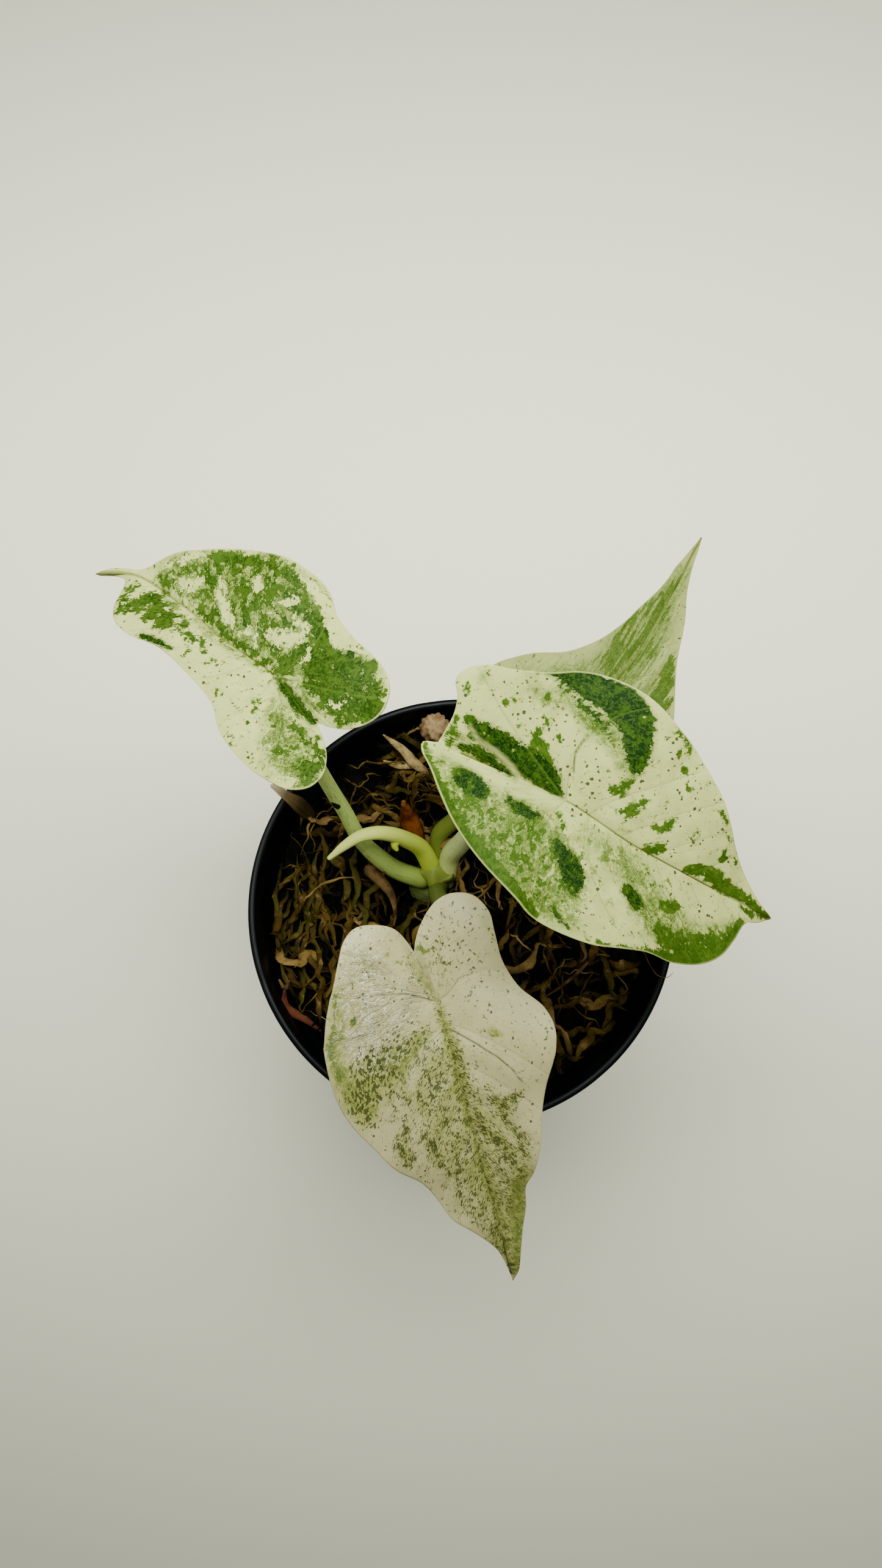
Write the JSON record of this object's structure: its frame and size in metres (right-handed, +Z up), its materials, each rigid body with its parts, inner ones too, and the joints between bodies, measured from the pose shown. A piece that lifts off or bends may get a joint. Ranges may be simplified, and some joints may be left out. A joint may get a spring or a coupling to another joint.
{
  "type": "potted variegated alocasia longiloba",
  "caption": "Young variegated aroid with arrow-shaped cream and green blades on long stalks, rooted in sphagnum moss in a small black tapered pot.",
  "frame": {"origin": "middle of the flat underside of the pot", "axes": "+Z up the axis of the pot, -Y to the side that the front blade points to, +X to the right seen from that side"},
  "size_m": [0.127, 0.1481, 0.1365],
  "materials": {
    "pot_plastic": "satin",
    "moss": "matte",
    "stem": "satin",
    "stalk": "satin",
    "blade": "satin",
    "shoot": "satin",
    "sheath": "matte",
    "straw": "matte"
  },
  "bodies": {
    "root": {"pot": "pot_plastic", "moss_fill": "moss", "stem": "stem", "petiole_right": "stalk", "leaf_right": "blade", "petiole_left": "stalk", "leaf_left": "blade", "petiole_back": "stalk", "leaf_back": "blade", "petiole_front": "stalk", "leaf_front": "blade", "new_shoot": "shoot", "brown_sheath": "sheath", "pale_strand": "straw", "moss_head": "straw", "dry_scrap": "sheath"}
  },
  "joints": []
}
